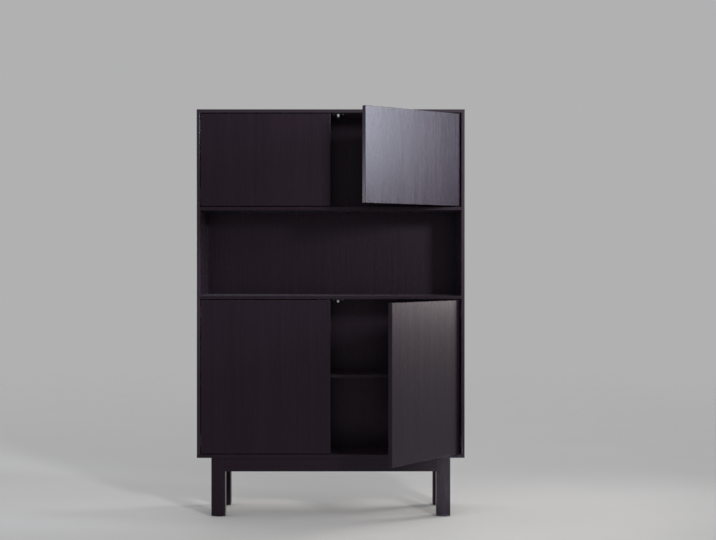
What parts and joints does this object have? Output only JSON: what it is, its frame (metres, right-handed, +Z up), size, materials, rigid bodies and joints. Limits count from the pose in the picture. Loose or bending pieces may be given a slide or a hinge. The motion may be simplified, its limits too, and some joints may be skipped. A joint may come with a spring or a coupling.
{
  "type": "bar armoire",
  "caption": "Tall dark-stained cabinet on legs with upper and lower flush push-to-open doors, an open bar niche between them and a loose inner shelf.",
  "frame": {"origin": "middle of the carcass's footprint, on the floor", "axes": "+X to the right seen from the front, +Y from the front to the rear, +Z up"},
  "size_m": [1.1, 0.798, 1.675],
  "materials": {
    "stained_wood": "near-black stain over brushed vertical grain, satin",
    "stained_back": "near-black stained thin board, satin",
    "nickelled_steel": "nickel-plated, satin",
    "latch_plastic": "pale grey, moulded, fine matte grain",
    "adapter_plastic": "near-black, moulded, fine matte grain",
    "beech": "raw, fluted",
    "felt": "pressed felt"
  },
  "bodies": {
    "carcass": {"apron_dowels": "beech", "apron_front": "stained_wood", "apron_left": "stained_wood", "apron_rear": "stained_wood", "apron_right": "stained_wood", "back_panel": "stained_back", "back_panel_screws": "nickelled_steel", "bar_shelf": "stained_wood", "base_screws": "nickelled_steel", "bottom_panel": "stained_wood", "carcass_dowels": "beech", "corner_bolts": "nickelled_steel", "corner_plate_screws": "nickelled_steel", "corner_plates": "nickelled_steel", "foot_glides": "felt", "hinge_adjusting_screws": "nickelled_steel", "hinge_arms": "nickelled_steel", "hinge_mounting_plates": "nickelled_steel", "hinge_plate_screws": "nickelled_steel", "inner_shelf": "stained_wood", "latch_adapters": "adapter_plastic", "latch_housings": "latch_plastic", "latch_screws": "nickelled_steel", "latch_springs": "nickelled_steel", "leg_front_left": "stained_wood", "leg_front_right": "stained_wood", "leg_rear_left": "stained_wood", "leg_rear_right": "stained_wood", "shelf_pins": "nickelled_steel", "side_panel_left": "stained_wood", "side_panel_right": "stained_wood", "top_panel": "stained_wood", "upper_shelf": "stained_wood"},
    "upper_left_door_assembly": {"upper_left_door": "stained_wood", "upper_left_hinge_cups": "nickelled_steel", "upper_left_hinge_pins": "nickelled_steel", "upper_left_cup_screws": "nickelled_steel", "upper_left_strike_plate": "nickelled_steel"},
    "upper_left_latch_button": {"upper_left_latch_plunger": "latch_plastic"},
    "upper_right_door_assembly": {"upper_right_door": "stained_wood", "upper_right_hinge_cups": "nickelled_steel", "upper_right_hinge_pins": "nickelled_steel", "upper_right_cup_screws": "nickelled_steel", "upper_right_strike_plate": "nickelled_steel"},
    "upper_right_latch_button": {"upper_right_latch_plunger": "latch_plastic"},
    "lower_left_door_assembly": {"lower_left_door": "stained_wood", "lower_left_hinge_cups": "nickelled_steel", "lower_left_hinge_pins": "nickelled_steel", "lower_left_cup_screws": "nickelled_steel", "lower_left_strike_plate": "nickelled_steel"},
    "lower_left_latch_button": {"lower_left_latch_plunger": "latch_plastic"},
    "lower_right_door_assembly": {"lower_right_door": "stained_wood", "lower_right_hinge_cups": "nickelled_steel", "lower_right_hinge_pins": "nickelled_steel", "lower_right_cup_screws": "nickelled_steel", "lower_right_strike_plate": "nickelled_steel"},
    "lower_right_latch_button": {"lower_right_latch_plunger": "latch_plastic"}
  },
  "joints": [
    {"name": "upper_left_door_swing", "type": "hinge", "parent": "carcass", "child": "upper_left_door_assembly", "pos_m": [-0.5215, -0.175, 1.46825], "axis": [0, 0, -1], "range_deg": [0, 95]},
    {"name": "upper_right_door_swing", "type": "hinge", "parent": "carcass", "child": "upper_right_door_assembly", "pos_m": [0.5215, -0.175, 1.46825], "axis": [0, 0, 1], "range_deg": [-41.8, 53.2]},
    {"name": "lower_left_door_swing", "type": "hinge", "parent": "carcass", "child": "lower_left_door_assembly", "pos_m": [-0.5215, -0.175, 0.5765], "axis": [0, 0, -1], "range_deg": [0, 95]},
    {"name": "lower_right_door_swing", "type": "hinge", "parent": "carcass", "child": "lower_right_door_assembly", "pos_m": [0.5215, -0.175, 0.5765], "axis": [0, 0, 1], "range_deg": [-56.5, 38.5]},
    {"name": "upper_left_latch_press", "type": "slide", "parent": "carcass", "child": "upper_left_latch_button", "axis": [0, 1, 0], "range_m": [0, 0.003], "stiffness_N_per_m": 400, "springref_m": -0.003, "deforming": ["latch_springs"]},
    {"name": "upper_right_latch_press", "type": "slide", "parent": "carcass", "child": "upper_right_latch_button", "axis": [0, 1, 0], "range_m": [0, 0.003], "stiffness_N_per_m": 400, "springref_m": -0.003, "deforming": ["latch_springs"]},
    {"name": "lower_left_latch_press", "type": "slide", "parent": "carcass", "child": "lower_left_latch_button", "axis": [0, 1, 0], "range_m": [0, 0.003], "stiffness_N_per_m": 400, "springref_m": -0.003, "deforming": ["latch_springs"]},
    {"name": "lower_right_latch_press", "type": "slide", "parent": "carcass", "child": "lower_right_latch_button", "axis": [0, 1, 0], "range_m": [0, 0.003], "stiffness_N_per_m": 400, "springref_m": -0.003, "deforming": ["latch_springs"]}
  ]
}
